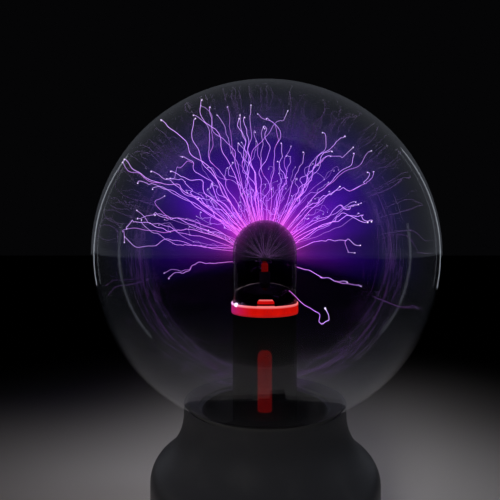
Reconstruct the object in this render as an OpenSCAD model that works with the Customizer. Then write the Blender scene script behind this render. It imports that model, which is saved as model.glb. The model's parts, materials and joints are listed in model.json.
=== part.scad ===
// Desk plasma ball: a sealed glass globe with a dome-ended electrode pillar inside it,
// standing on a round base that holds the high-voltage driver.
// Millimetres, +Z up, the front is -Y, origin at the middle of the base on the table.

/* [Globe] */
// Outer diameter of the glass globe
globe_d = 206; // [170:1:250]
// Wall thickness of the globe
globe_wall = 2; // [1.5:0.1:3]
// Outer diameter of the globe's neck
neck_d = 76; // [72:0.5:80]
// Length of the neck below the globe
neck_length = 22; // [18:0.5:28]

/* [Pillar] */
// Outer diameter of the smoked glass pillar
pillar_d = 40; // [33:0.5:44]
// Wall thickness of the pillar
pillar_wall = 1.6; // [1.2:0.1:2.2]
// Radius of the flare that joins the pillar to the neck
flare_r = 10; // [7:0.5:12]
// Distance from the dome's centre down to the top of the red ring
ring_drop = 31; // [26:0.1:36]
// Height of the red ring
ring_h = 6.4; // [5:0.1:10]
// Wall thickness of the red ring
ring_wall = 0.8; // [0.6:0.1:1.5]
// Width of the lug at the front of the ring's upper edge
lug_w = 11; // [8:0.5:14]
// Height of the lug above the ring
lug_h = 4; // [3:0.5:7]

/* [Electrode] */
// Diameter of the electrode's rod
rod_d = 2.4; // [1.6:0.1:3.2]
// Diameter of the ball at the rod's top
head_d = 5.2; // [4.6:0.1:7]
// Distance from the dome's centre down to the ball's centre
head_drop = 4; // [2:0.5:6]
// Number of wires in the spray
wire_count = 64; // [24:1:80]
// Diameter of one wire of the spray
wire_d = 0.36; // [0.3:0.02:0.5]
// Diameter of the red bead under the ball
bead_d = 4.2; // [3.6:0.1:6]
// Height of the red bead
bead_h = 6; // [4:0.5:7]
// Diameter of the ceramic stem
stem_d = 6.8; // [5:0.1:9]
// Height of the ceramic stem that shows above its seat
stem_h = 10; // [8:0.5:15]
// Height of the shoulder plug's dome
plug_dome_h = 5; // [4:0.5:14]
// Height of the shoulder plug's straight part
plug_skirt_h = 17; // [8:0.5:18]
// Outer diameter of the red silicone sleeve
sleeve_d = 9; // [6:0.1:12]
// Distance from the dome's centre down to the sleeve's top
sleeve_drop = 61; // [54:0.5:70]

/* [Base] */
// Diameter of the base's drum
base_d = 140; // [126:1:170]
// Diameter of the collar under the globe
collar_d = 100; // [94:1:108]
// Height of the collar's outer rim above the table
base_height = 92; // [88:0.5:112]
// Wall thickness of the base
base_wall = 2.4; // [2:0.1:3]
// Radius of the hollow curve under the collar
hollow_r = 36; // [26:1:38]
// Radius of the round shoulder of the drum
shoulder_r = 12; // [8:1:14]
// Radius of the drum's lower edge
edge_r = 3; // [1:0.5:4]
// Gap between the globe and the collar, filled by the gasket
gasket_t = 1.5; // [1:0.1:2.5]
// Depth of the flats at the front and back of the drum
flat_depth = 4; // [3:0.5:5]
// Width of the air slots in the drum
slot_w = 2; // [1.5:0.1:3]
// Air slots on each side of the drum
slot_count = 9; // [5:2:11]

/* [Cover and feet] */
// Thickness of the bottom cover
cover_t = 3; // [2.5:0.1:4]
// Diameter of a rubber foot
foot_d = 16; // [12:0.5:20]
// Height of the base's lower edge above the table
foot_h = 4; // [3:0.5:6]
// Distance of the feet from the middle
foot_ring_r = 54; // [48:0.5:56]

/* [Controls] */
// Diameter of the knob
knob_d = 20; // [18:0.5:24]
// Length of the knob
knob_l = 14; // [12:0.5:18]
// Distance of the knob and the switch from the middle
control_x = 12; // [11:0.5:12]
// Height of the knob and switch above the table
control_z = 26; // [24:0.5:28]
// Diameter of the knob's shaft
shaft_d = 6; // [5:0.1:6.3]
// Diameter of the shaft's threaded bush
bush_d = 7; // [6.8:0.1:8]
// Travel of the slide switch, end to end
switch_travel = 4; // [3:0.5:5]

/* [Supply socket] */
// Bore of the supply socket
socket_d = 5.7; // [5.5:0.1:6.4]
// Diameter of the socket's centre pin
socket_pin_d = 2; // [1.6:0.1:2.5]
// Depth of the socket
socket_depth = 9.5; // [8:0.5:11]
// Diameter of the socket's threaded barrel
socket_barrel_d = 11; // [10:0.5:12]
// Height of the socket above the table
socket_z = 24; // [20:0.5:30]

/* [Driver board] */
// Width of the driver board
board_w = 88; // [84:1:90]
// Depth of the driver board
board_l = 72; // [66:1:76]
// Thickness of both boards
board_t = 1.6; // [1:0.1:2]
// Height of the cover's posts
post_h = 7; // [5:0.5:9]
// Width of the transformer's core
core_w = 42; // [38:0.5:46]
// Height of the transformer's core
core_h = 30; // [26:0.5:31]
// Thickness of the transformer's core
core_t = 14; // [12:0.5:16]
// Diameter of the core's middle leg
core_leg_d = 12; // [9:0.5:12.5]
// Diameter of the high-voltage lead
lead_d = 3.2; // [2.4:0.1:3.6]

/* [Hidden] */
$fn = 96;
fit = 0.05;          // radial clearance between round pieces that fit together
slide_fit = 0.1;     // clearance on each side of a sliding piece
gap = 0.3;           // clearance between pieces that only pass each other
eps = 1;             // how far a cutting tool runs past a face
lap = 0.01;          // overlap of outlines that join into one section

// Globe and pillar
globe_r = globe_d / 2;
neck_r = neck_d / 2;
dish_r = globe_r + gasket_t;
collar_r = collar_d / 2;
globe_z = base_height + sqrt(dish_r * dish_r - collar_r * collar_r);
neck_z = globe_z - sqrt(globe_r * globe_r - neck_r * neck_r) - neck_length;
pillar_r = pillar_d / 2;
bore_r = pillar_r - pillar_wall;
rim_z = neck_z - pillar_wall;
flare_x = pillar_r + flare_r;
flare_z = neck_z + flare_r;
ring_z = globe_z - ring_drop - ring_h;
stub_d = 4.4;
stub_l = 9;
stub_x = neck_r - 5;

// Electrode
head_z = globe_z - head_drop;
bead_flat = 0.4;     // how much of the bead's round top is cut flat under the ball
bead_z = head_z - head_d / 2 - bead_h + bead_flat;
stem_seat = 3;
stem_z = bead_z - stem_h;
plug_r = bore_r - fit;
plug_wall = 2;
plug_top_z = stem_z + stem_seat;
plug_z = plug_top_z - plug_dome_h - plug_skirt_h;
cap_r = (plug_r * plug_r + plug_dome_h * plug_dome_h) / (2 * plug_dome_h);
sleeve_top_z = globe_z - sleeve_drop;
bung_h = 8;
bung_z = flare_z + 1;
wire_gap = 0.2;
wire_top_sine = 0.98;    // sine of the first wire's elevation
wire_sine_span = 0.9;    // how far that sine falls over the whole spray
golden_angle = 180 * (3 - sqrt(5));

// Base shell
base_r = base_d / 2;
collar_h = 6;
hollow_z = base_height - collar_h;
shoulder_x = base_r - shoulder_r;
shoulder_z = hollow_z - sqrt(pow(hollow_r + shoulder_r, 2) - pow(collar_r + hollow_r - shoulder_x, 2));
bore_wall = 2;
bore_gap = 1;
neck_bore_r = neck_r + bore_gap;
deck_t = 2.9;
deck_z = globe_z - sqrt(dish_r * dish_r - pow(neck_bore_r + bore_wall, 2)) - deck_t;
seat_over = 4;       // how far the collar is drawn past its rim before the dish cuts it
flat_y = base_r - flat_depth;
flat_w = 2 * sqrt(base_r * base_r - flat_y * flat_y);
flat_z0 = foot_h + 6;
flat_z1 = flat_z0 + 32;
slot_step = 5;
slot_z0 = flat_z0 + 5;
slot_z1 = slot_z0 + 20;
pad_y = flat_y - base_wall;

// Neck clamp and its screws
clamp_t = 4;
clamp_in_r = neck_r - 2;
clamp_out_r = collar_r - base_wall - gap;
clamp_z = rim_z - clamp_t;
clamp_boss_d = 7.6;
clamp_screw_r = (neck_bore_r + bore_wall + collar_r - base_wall) / 2;
clamp_angles = [90, 210, 330];
screw_d = 2.5;
screw_hole_d = screw_d + 2 * gap;
screw_head_d = 5.2;
screw_head_h = 2;
pilot_l = 14;
clamp_screw_l = clamp_t + 10;
cover_screw_l = 12;
board_screw_l = 6;

// Cover, its screws and the feet
cover_r = base_r - base_wall - gap;
cover_top_z = foot_h + cover_t;
cover_screw_r = base_r - base_wall - 9.6;
cover_boss_d = 7;
cover_boss_h = 20;
cover_screw_angles = [30, 150, 210, 330];
foot_angles = [60, 120, 240, 300];
foot_seat = 1;
foot_edge = 1;
vent_r0 = 12;
vent_r1 = 30;
vent_step = 30;
post_d = 7;
post_in = 5;
board_z = cover_top_z + post_h;
board_top_z = board_z + board_t;

// Controls
pot_d = 16.4;
pot_floor = 1.5;
shaft_end_gap = 0.5;
pot_depth = 8.6;
bush_l = 4.4;
nut_t = 2;
nut_af = 10;
knob_gap = 0.6;
knob_skirt_h = 3;
knob_grip_d = knob_d - 2.4;
knob_face_d = knob_d - 4.4;
knob_edge_r = 1;
knob_room_d = nut_af / cos(30) + 2;
knob_room_l = bush_l + 0.4;
knob_web = 2;        // plastic left between the shaft's end and the knob's face
flute_d = 2.2;
flute_sink = 0.9;    // how far a flute's axis lies inside the grip
flute_step = 15;
pointer_w = 1.2;
pointer_t = 0.6;
pointer_start = 2;
pointer_proud = 0.1;
knob_back_y = -flat_y - knob_gap;
knob_face_y = knob_back_y - knob_l;
switch_w = 16.8;
switch_h = 6;
switch_depth = 6;
lever_w = 3;
lever_h = 3;
switch_floor = 2;
slot_h = lever_h + 2 * gap;
slot_l = lever_w + switch_travel + 2 * gap;
channel_h = lever_h + 2 * slide_fit;
thumb_w = 5.4;
thumb_h = 5.2;
thumb_t = 3.7;
ridge_step = 1.6;
ridge_w = 0.7;
ridge_depth = 0.6;
pin_d = 1;
pin_step = 4;
control_board_y = -(pad_y - pot_depth);
control_board_w = 44;
control_board_h = 28;
control_board_drop = 12;
board_hole_d = 2;
board_hole_z = [-9, 13];
mic_d = 6;
mic_l = 4.5;
mic_hole_d = 1.6;
mic_pin_x = 1.3;
mic_z = control_z + 11;

// Supply socket
flange_d = socket_barrel_d + 3;
flange_t = 1.5;
socket_nut_t = 2.4;
socket_floor = 4;
socket_pin_tail_d = 0.75 * socket_pin_d;
socket_pin_seat = 2;
socket_pin_in = 1;   // how far the pin's end lies inside the socket's mouth
socket_face_y = flat_y + flange_t;
socket_floor_y = socket_face_y - socket_depth;
socket_back_y = socket_floor_y - socket_floor;
supply_lead_d = 1.6;
supply_lead_x = 2.6;
supply_y = board_l / 2 - 6;

// Transformer
foot_plate_t = 2;
core_z = board_top_z + foot_plate_t;
core_leg_w = 6;
window_x = core_w / 2 - core_leg_w;
yoke_h = core_leg_w;
bobbin_r = core_leg_d / 2 + 1.2;
flange_r = window_x - 0.4;
core_air_gap = 0.2;
bobbin_t = 1.2;
bobbin_end_gap = 0.2;
bobbin_z0 = core_z + yoke_h + bobbin_end_gap;
bobbin_z1 = core_z + core_h - yoke_h - bobbin_end_gap;
primary_share = 0.3; // part of the winding's depth that the primary fills
primary_r = bobbin_r + (flange_r - bobbin_r) * primary_share;
secondary_r = flange_r - 0.5;
foot_plate_in = 1;
foot_plate_out = 4;
clip_w = 6;
clip_t = 0.6;

// Power transistor on its heat sink
transistor_x = 27;
transistor_w = 10;
case_t = 3.3;
tab_t = 1.3;
case_z = [4, 13];    // the moulded case's lower and upper ends above the board
tab_top = 19.5;
tab_hole_z = 16.5;
tab_hole_d = 3.2;
leg_w = 0.8;
leg_t = 0.6;
leg_in = 1;
leg_pitch = 2.54;
sink_x = transistor_x + case_t + tab_t;
sink_w = 28;
sink_h = 24;
sink_back_t = 2;
sink_depth = 8;
fin_t = 1.2;
fin_pitch = 4.4;
sink_hole_d = 2.6;
tab_screw_d = 2.5;
tab_screw_l = 6;
tab_screw_head_d = 5;
tab_screw_head_h = 1.6;

// Small parts of the driver board; positions are x and y from its middle
can_base_h = 0.6;
can_lip = 0.8;
can_lip_h = 1;
cans = [[10, 18, -35, 16], [8, 13, -34, 4], [8, 13, -34, -8]];    // diameter, height, x, y
film_size = [11, 6, 10];
film_x = [-18, -2];
film_y = 20;
resistor_d = 2.4;
resistor_l = 6.4;
resistor_wire_d = 0.6;
resistor_leg_d = 0.9;
resistor_lift = 1.6;
resistor_reach = 2;
resistor_x = 13;
resistor_y = [15 : 4 : 31];
chip_size = [9.4, 6.4, 3.3];
chip_pos = [-24, -28];
chip_lift = 0.6;
chip_pin = [0.6, 0.9, 2];
choke_pos = [22, -24];
choke_flange_d = 10;
choke_flange_t = 1.4;
choke_core_d = 8.4;
choke_core_h = 7;
header_w = 14;
header_l = 6;
header_h = 5;
header_y = -board_l / 2 + header_l / 2;
cable_w = 12;
cable_t = 0.9;
cable_bend = 5;
cable_rise = 3;

// High-voltage lead: from the coil, round the core's yoke and up the pillar
lead_top_z = sleeve_top_z - 12;
coil_exit_z = bobbin_z1 - 5;
lead_points = [
    [0, -secondary_r - fit, coil_exit_z], [0, -17, coil_exit_z], [0, -19.5, coil_exit_z + 2],
    [0, -20.5, coil_exit_z + 6], [0, -19.5, coil_exit_z + 10], [0, -16.5, coil_exit_z + 14],
    [0, -12, coil_exit_z + 17], [0, -7, coil_exit_z + 19], [0, -3, coil_exit_z + 21.5],
    [0, -0.6, coil_exit_z + 25], [0, 0, coil_exit_z + 29], [0, 0, lead_top_z]
];

// ---------- shared shapes ----------

// Ring or tube standing on z
module tube(r_out, r_in, z0, z1) {
    translate([0, 0, z0]) difference() {
        cylinder(r = r_out, h = z1 - z0);
        translate([0, 0, -eps]) cylinder(r = r_in, h = z1 - z0 + 2 * eps);
    }
}

// Box between two corners
module block(low, high) {
    translate(low) cube(high - low);
}

// Copies at each angle on a circle of radius r
module around(angles, r) {
    for (a = angles) rotate([0, 0, a]) translate([r, 0, 0]) children();
}

// Copies at the four corners of a w by l rectangle
module corners(w, l) {
    for (x = [-w / 2, w / 2], y = [-l / 2, l / 2]) translate([x, y, 0]) children();
}

// Cylinder along +Y from y0 to y1
module rod_y(d, y0, y1) {
    translate([0, y0, 0]) rotate([-90, 0, 0]) cylinder(d = d, h = y1 - y0);
}

// Pan-head screw, its head below z = 0 and its shank above, with a cross recess
module screw(d, l, head_d, head_h) {
    difference() {
        translate([0, 0, -head_h]) union() {
            cylinder(d = head_d, h = head_h);
            cylinder(d = d, h = head_h + l);
        }
        for (a = [0, 90]) rotate([0, 0, a])
            translate([-head_d * 0.3, -0.3, -head_h - eps]) cube([head_d * 0.6, 0.6, eps + head_h * 0.5]);
    }
}

// Quarter of a flat ring between radii r0 and r1, at upper right
module quarter_ring(r0, r1) intersection() {
    difference() {
        circle(r = r1);
        circle(r = r0);
    }
    square([r1 + eps, r1 + eps]);
}

// ---------- glass ----------

module globe() color([0.85, 0.9, 0.95, 0.3]) difference() {
    union() {
        translate([0, 0, globe_z]) sphere(r = globe_r);
        translate([0, 0, neck_z]) cylinder(r = neck_r, h = neck_length + globe_wall / 2);
    }
    translate([0, 0, globe_z]) sphere(r = globe_r - globe_wall);
    translate([0, 0, neck_z - eps]) cylinder(r = neck_r - globe_wall, h = globe_r);
}

// Tube with a round top; below, it flares out to a flat rim that is fused under the neck
module pillar() color([0.12, 0.11, 0.14, 0.6]) rotate_extrude() difference() {
    union() {
        pillar_outline(pillar_r, flare_r, neck_z);
        translate([0, rim_z]) square([neck_r, pillar_wall]);
    }
    pillar_outline(bore_r, flare_r + pillar_wall, rim_z);
}

// Half outline of a dome-ended pillar of radius r that flares with the given curve down to z
module pillar_outline(r, curve, z) {
    intersection() {
        translate([0, globe_z]) circle(r = r);
        translate([0, globe_z - r]) square([r + eps, 2 * r + eps]);
    }
    translate([0, flare_z - lap]) square([r, globe_z - flare_z + lap]);
    difference() {
        translate([0, z]) square([flare_x, flare_z - z]);
        translate([flare_x, flare_z]) circle(r = curve);
    }
}

// Stub where the globe was pumped out and melted shut
module seal_off_stub() color([0.85, 0.9, 0.95, 0.3])
    translate([stub_x, 0, rim_z - stub_l]) {
        sphere(d = stub_d);
        cylinder(d = stub_d, h = stub_l);
    }

// ---------- electrode ----------

module red_ring() color([0.85, 0.08, 0.05]) {
    rotate_extrude() {
        translate([pillar_r + fit, ring_z]) square([ring_wall, ring_h - ring_wall / 2]);
        translate([pillar_r + fit + ring_wall / 2, ring_z + ring_h - ring_wall / 2]) circle(d = ring_wall);
    }
    ring_lug();
}

// Lug that stands up from the ring's wall at the front, narrower at its top
module ring_lug() {
    r = pillar_r + fit + ring_wall / 4;
    foot = ring_h / 2;
    half = [[lug_w / 2, 0], [0.44 * lug_w, foot + 0.7 * lug_h], [0.34 * lug_w, foot + lug_h]];
    intersection() {
        tube(r + ring_wall / 2, r, ring_z + foot - eps, ring_z + ring_h + lug_h + eps);
        translate([0, 0, ring_z + foot]) rotate([90, 0, 0]) linear_extrude(height = 2 * pillar_r)
            polygon(concat(half, [for (i = [2 : -1 : 0]) [-half[i].x, half[i].y]]));
    }
}

module electrode_ball() color([0.55, 0.5, 0.5]) difference() {
    translate([0, 0, head_z]) sphere(d = head_d);
    translate([0, 0, head_z - head_d]) cylinder(d = rod_d + 2 * fit, h = head_d);
}

// Length of a wire that leaves the ball's centre at elevation angle e and stops at the dome's inside
function wire_reach(e) =
    let (s = bore_r - wire_gap, d = head_drop)
    d * sin(e) + sqrt(s * s - d * d * cos(e) * cos(e));

module electrode_wires() color([0.35, 0.3, 0.38])
    for (i = [0 : wire_count - 1]) {
        e = asin(wire_top_sine - wire_sine_span * i / wire_count);
        start = head_d / 2 + fit;
        translate([0, 0, head_z]) rotate([0, 90 - e, i * golden_angle])
            translate([0, 0, start]) cylinder(d = wire_d, h = wire_reach(e) - start);
    }

module electrode_rod() color([0.6, 0.6, 0.62])
    translate([0, 0, lead_top_z]) cylinder(d = rod_d, h = head_z - lead_top_z);

module red_bead() color([0.7, 0.08, 0.05]) difference() {
    translate([0, 0, bead_z]) union() {
        cylinder(d = bead_d, h = bead_h - bead_d / 2);
        intersection() {
            translate([0, 0, bead_h - bead_d / 2]) sphere(d = bead_d);
            cylinder(d = bead_d + eps, h = bead_h - bead_flat);
        }
    }
    translate([0, 0, bead_z - eps]) cylinder(d = rod_d + 2 * fit, h = bead_h + 2 * eps);
}

module ceramic_stem() color([0.2, 0.2, 0.26])
    tube(stem_d / 2, rod_d / 2 + fit, stem_z, bead_z);

module shoulder_plug() color([0.04, 0.04, 0.05]) difference() {
    union() {
        translate([0, 0, plug_z]) cylinder(r = plug_r, h = plug_skirt_h);
        intersection() {
            translate([0, 0, plug_top_z - cap_r]) sphere(r = cap_r);
            translate([0, 0, plug_z + plug_skirt_h]) cylinder(r = plug_r, h = plug_dome_h + eps);
        }
    }
    translate([0, 0, plug_z - eps]) cylinder(d = rod_d + 2 * fit, h = plug_dome_h + plug_skirt_h + 2 * eps);
    translate([0, 0, stem_z]) cylinder(d = stem_d + 2 * fit, h = plug_dome_h);
    translate([0, 0, plug_z - eps]) cylinder(r = plug_r - plug_wall, h = plug_skirt_h - plug_wall + eps);
}

module red_sleeve() color([0.75, 0.05, 0.04]) difference() {
    union() {
        translate([0, 0, bung_z]) cylinder(d = sleeve_d, h = sleeve_top_z - sleeve_d / 2 - bung_z);
        translate([0, 0, sleeve_top_z - sleeve_d / 2]) sphere(d = sleeve_d);
    }
    translate([0, 0, bung_z - eps]) cylinder(d = lead_d + 2 * gap, h = lead_top_z + gap - bung_z + eps);
    translate([0, 0, bung_z]) cylinder(d = rod_d + 2 * fit, h = sleeve_top_z);
}

module pillar_bung() color([0.08, 0.08, 0.08])
    tube(bore_r - fit, sleeve_d / 2 + fit, bung_z, bung_z + bung_h);

// ---------- base ----------

// Section of the base, taken in by t from its outer surface
module base_section(t, z0, z1) {
    // drum, with its round lower edge
    translate([0, z0]) square([base_r - t - edge_r, edge_r]);
    translate([0, z0 + edge_r]) square([base_r - t, shoulder_z - z0 - edge_r]);
    translate([base_r - t - edge_r, z0 + edge_r]) circle(r = edge_r);
    // round shoulder
    translate([shoulder_x, shoulder_z]) circle(r = shoulder_r - t);
    // hollow curve up to the collar
    difference() {
        polygon([[0, shoulder_z], [shoulder_x, shoulder_z], [collar_r + hollow_r, hollow_z], [0, hollow_z]]);
        translate([collar_r + hollow_r, hollow_z]) circle(r = hollow_r + t);
    }
    // collar
    translate([0, hollow_z - lap]) square([collar_r - t, z1 - hollow_z + lap]);
}

// Slots for air, in a fan on both sides of the drum
module air_slots() {
    for (side = [0, 180], i = [0 : slot_count - 1])
        rotate([0, 0, side + (i - (slot_count - 1) / 2) * slot_step])
            block([base_r - 2 * base_wall, -slot_w / 2, slot_z0], [base_r + eps, slot_w / 2, slot_z1]);
}

// Cuts the drum's flats: a front one at sign -1 and a back one at sign 1
module flat_cut(sign, depth) {
    y0 = sign * depth;
    y1 = sign * (base_r + eps);
    x = flat_w / 2 + eps;
    block([-x, min(y0, y1), flat_z0], [x, max(y0, y1), flat_z1]);
}

module base_shell() color([0.05, 0.05, 0.06]) difference() {
    union() {
        difference() {
            rotate_extrude() base_section(0, foot_h, base_height + seat_over);
            difference() {
                rotate_extrude() difference() {
                    base_section(base_wall, foot_h - edge_r - eps, deck_z);
                    translate([neck_bore_r, rim_z]) square([bore_wall, base_height]);
                    translate([-eps, deck_z]) square([base_r, base_height]);
                }
                for (sign = [-1, 1]) pad(sign);
                around(clamp_angles, clamp_screw_r)
                    translate([0, 0, rim_z]) cylinder(d = clamp_boss_d, h = base_height);
                around(cover_screw_angles, cover_screw_r)
                    translate([0, 0, cover_top_z]) cylinder(d = cover_boss_d, h = cover_boss_h);
            }
        }
        around(cover_screw_angles, cover_screw_r + cover_boss_d / 2)
            block([-1, -1, cover_top_z], [base_r - base_wall / 2 - cover_screw_r - cover_boss_d / 2, 1,
                cover_top_z + cover_boss_h]);
    }
    translate([0, 0, rim_z - eps]) cylinder(r = neck_bore_r, h = base_height);
    translate([0, 0, globe_z]) sphere(r = dish_r);
    for (sign = [-1, 1]) flat_cut(sign, flat_y);
    air_slots();
    around(clamp_angles, clamp_screw_r)
        translate([0, 0, rim_z - eps]) cylinder(d = screw_d + 2 * fit, h = pilot_l + eps);
    around(cover_screw_angles, cover_screw_r)
        translate([0, 0, cover_top_z - eps]) cylinder(d = screw_d + 2 * fit, h = pilot_l + eps);
    // front: shaft bush, switch slot and microphone hole
    translate([control_x, 0, control_z]) rod_y(bush_d + 2 * fit, -base_r, -pad_y + eps);
    block([-control_x - slot_l / 2, -base_r, control_z - slot_h / 2],
          [-control_x + slot_l / 2, -pad_y + eps, control_z + slot_h / 2]);
    translate([0, 0, mic_z]) rod_y(mic_hole_d, -base_r, -pad_y + eps);
    // back: supply socket
    translate([0, 0, socket_z]) rod_y(socket_barrel_d + 2 * fit, pad_y - eps, base_r);
}

// Thickening behind a flat, so that the wall keeps its thickness there
module pad(sign) {
    y0 = sign * pad_y;
    y1 = sign * (base_r + eps);
    block([-flat_w / 2 - base_wall, min(y0, y1), flat_z0 - base_wall],
          [flat_w / 2 + base_wall, max(y0, y1), flat_z1 + base_wall]);
}

module globe_gasket() color([0.1, 0.1, 0.1]) difference() {
    intersection() {
        translate([0, 0, globe_z]) sphere(r = dish_r - fit);
        tube(collar_r - 2.5, neck_bore_r + bore_wall, deck_z, base_height + seat_over);
    }
    translate([0, 0, globe_z]) sphere(r = globe_r + fit);
}

module neck_clamp() color([0.12, 0.12, 0.12]) difference() {
    tube(clamp_out_r, clamp_in_r, clamp_z, rim_z);
    around(clamp_angles, clamp_screw_r)
        translate([0, 0, clamp_z - eps]) cylinder(d = screw_hole_d, h = clamp_t + 2 * eps);
}

module neck_clamp_screws() color([0.7, 0.7, 0.72])
    around(clamp_angles, clamp_screw_r)
        translate([0, 0, clamp_z]) screw(screw_d, clamp_screw_l, screw_head_d, screw_head_h);

module base_cover() color([0.07, 0.07, 0.08]) difference() {
    union() {
        translate([0, 0, foot_h]) cylinder(r = cover_r, h = cover_t);
        corners(board_w - 2 * post_in, board_l - 2 * post_in)
            translate([0, 0, cover_top_z]) cylinder(d = post_d, h = post_h);
    }
    corners(board_w - 2 * post_in, board_l - 2 * post_in)
        translate([0, 0, cover_top_z + 1]) cylinder(d = screw_d + 2 * fit, h = post_h);
    around(foot_angles, foot_ring_r)
        translate([0, 0, foot_h - eps]) cylinder(d = foot_d + 2 * fit, h = eps + foot_seat);
    around(cover_screw_angles, cover_screw_r) {
        translate([0, 0, foot_h - eps]) cylinder(d = screw_hole_d, h = cover_t + 2 * eps);
        translate([0, 0, foot_h - eps]) cylinder(d = screw_head_d + 2 * gap, h = eps + cover_t / 2);
    }
    // air slots under the board
    for (a = [0 : vent_step : 359]) rotate([0, 0, a])
        block([vent_r0, -slot_w / 2, foot_h - eps], [vent_r1, slot_w / 2, cover_top_z + eps]);
}

module cover_screws() color([0.7, 0.7, 0.72])
    around(cover_screw_angles, cover_screw_r)
        translate([0, 0, foot_h + cover_t / 2])
            screw(screw_d, cover_screw_l, screw_head_d, cover_t / 2 - gap);

module rubber_feet() color([0.15, 0.15, 0.15])
    around(foot_angles, foot_ring_r) {
        translate([0, 0, foot_edge]) cylinder(d = foot_d, h = foot_h + foot_seat - foot_edge);
        cylinder(d1 = foot_d - 2 * foot_edge, d2 = foot_d, h = foot_edge);
    }

// ---------- driver board ----------

module driver_board() color([0.1, 0.35, 0.2]) difference() {
    block([-board_w / 2, -board_l / 2, board_z], [board_w / 2, board_l / 2, board_top_z]);
    corners(board_w - 2 * post_in, board_l - 2 * post_in)
        translate([0, 0, board_z - eps]) cylinder(d = screw_hole_d, h = board_t + 2 * eps);
}

module board_screws() color([0.7, 0.7, 0.72])
    corners(board_w - 2 * post_in, board_l - 2 * post_in)
        translate([0, 0, board_top_z]) mirror([0, 0, 1])
            screw(screw_d, board_screw_l, screw_head_d, screw_head_h);

// One E-shaped half of the core; the other is its mirror image
module core_half() {
    block([-core_w / 2, -core_t / 2, 0], [core_w / 2, core_t / 2, yoke_h]);
    for (x = [-core_w / 2, window_x])
        block([x, -core_t / 2, yoke_h / 2], [x + core_leg_w, core_t / 2, core_h / 2]);
    cylinder(d = core_leg_d, h = (core_h - core_air_gap) / 2);
}

module transformer_core() color([0.18, 0.18, 0.2]) {
    translate([0, 0, core_z]) core_half();
    translate([0, 0, core_z + core_h]) mirror([0, 0, 1]) core_half();
}

module transformer_foot() color([0.08, 0.08, 0.08]) {
    x = core_w / 2 - foot_plate_in;
    y = core_t / 2 + foot_plate_out;
    block([-x, -y, board_top_z], [x, y, core_z]);
}

module transformer_bobbin() color([0.12, 0.12, 0.12]) {
    bore = core_leg_d / 2 + fit;
    tube(bobbin_r, bore, bobbin_z0, bobbin_z1);
    tube(flange_r, bore, bobbin_z0, bobbin_z0 + bobbin_t);
    tube(flange_r, bore, bobbin_z1 - bobbin_t, bobbin_z1);
}

module primary_winding() color([0.72, 0.4, 0.2])
    tube(primary_r, bobbin_r + fit, bobbin_z0 + bobbin_t + fit, bobbin_z1 - bobbin_t - fit);

module high_voltage_coil() color([0.5, 0.2, 0.1])
    tube(secondary_r, primary_r + fit, bobbin_z0 + bobbin_t + fit, bobbin_z1 - bobbin_t - fit);

// Spring-steel strap over the core and down both sides to the board
module core_clip() color([0.7, 0.7, 0.72]) difference() {
    x = core_w / 2 + fit;
    top = core_z + core_h + fit;
    block([-x - clip_t, -clip_w / 2, board_top_z], [x + clip_t, clip_w / 2, top + clip_t]);
    block([-x, -clip_w / 2 - eps, board_top_z - eps], [x, clip_w / 2 + eps, top]);
}

// Ring of n points round p, square to direction d, which lies in the YZ plane
function ring_points(p, d, r, n) =
    let (t = d / norm(d), side = [1, 0, 0], up = cross(t, side))
    [for (k = [0 : n - 1]) p + r * (cos(360 * k / n) * side + sin(360 * k / n) * up)];

// Round lead swept along points: one ring at each, joined by triangles, with flat ends
module lead(points, d, n = 10) {
    last = len(points) - 1;
    rings = [for (i = [0 : last])
        ring_points(points[i], points[min(i + 1, last)] - points[max(i - 1, 0)], d / 2, n)];
    vertices = [for (ring = rings) each ring];
    sides = [for (i = [0 : last - 1], k = [0 : n - 1])
        let (a = i * n + k, b = i * n + (k + 1) % n) [a, b, b + n, a + n]];
    start = [[for (k = [0 : n - 1]) n - 1 - k]];
    end = [[for (k = [0 : n - 1]) last * n + k]];
    polyhedron(vertices, concat(start, sides, end), convexity = 4);
}

module high_voltage_lead() color([0.7, 0.05, 0.04]) lead(lead_points, lead_d);

module power_transistor() color([0.1, 0.1, 0.1]) difference() {
    union() {
        block([transistor_x, -transistor_w / 2, board_top_z + case_z[0]],
              [transistor_x + case_t, transistor_w / 2, board_top_z + case_z[1]]);
        block([transistor_x + case_t, -transistor_w / 2, board_top_z + case_z[0]],
              [sink_x, transistor_w / 2, board_top_z + tab_top]);
        for (y = [-leg_pitch, 0, leg_pitch])
            block([transistor_x + leg_in, y - leg_w / 2, board_top_z],
                  [transistor_x + leg_in + leg_t, y + leg_w / 2, board_top_z + case_z[0]]);
    }
    translate([transistor_x, 0, board_top_z + tab_hole_z]) rotate([0, 90, 0])
        cylinder(d = tab_hole_d, h = case_t + tab_t + eps);
}

// Flat back with seven fins, drilled for the transistor's screw
module heat_sink() color([0.62, 0.63, 0.65]) difference() {
    union() {
        block([sink_x, -sink_w / 2, board_top_z], [sink_x + sink_back_t, sink_w / 2, board_top_z + sink_h]);
        for (i = [-3 : 3])
            block([sink_x + sink_back_t / 2, i * fin_pitch - fin_t / 2, board_top_z],
                  [sink_x + sink_depth, i * fin_pitch + fin_t / 2, board_top_z + sink_h]);
    }
    translate([sink_x - eps, 0, board_top_z + tab_hole_z]) rotate([0, 90, 0])
        cylinder(d = sink_hole_d, h = sink_depth + 2 * eps);
}

module transistor_screw() color([0.7, 0.7, 0.72])
    translate([transistor_x + case_t, 0, board_top_z + tab_hole_z]) rotate([0, 90, 0])
        screw(tab_screw_d, tab_screw_l, tab_screw_head_d, tab_screw_head_h);

// Round can on a narrower foot
module electrolytic_capacitors() color([0.1, 0.14, 0.3])
    for (can = cans) translate([can[2], can[3], board_top_z]) {
        translate([0, 0, can_base_h]) cylinder(d = can[0], h = can[1]);
        cylinder(d = can[0] - 2 * can_lip, h = can_lip_h);
    }

module film_capacitors() color([0.6, 0.12, 0.08])
    for (x = film_x) translate([x, film_y, board_top_z]) cube(film_size);

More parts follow.
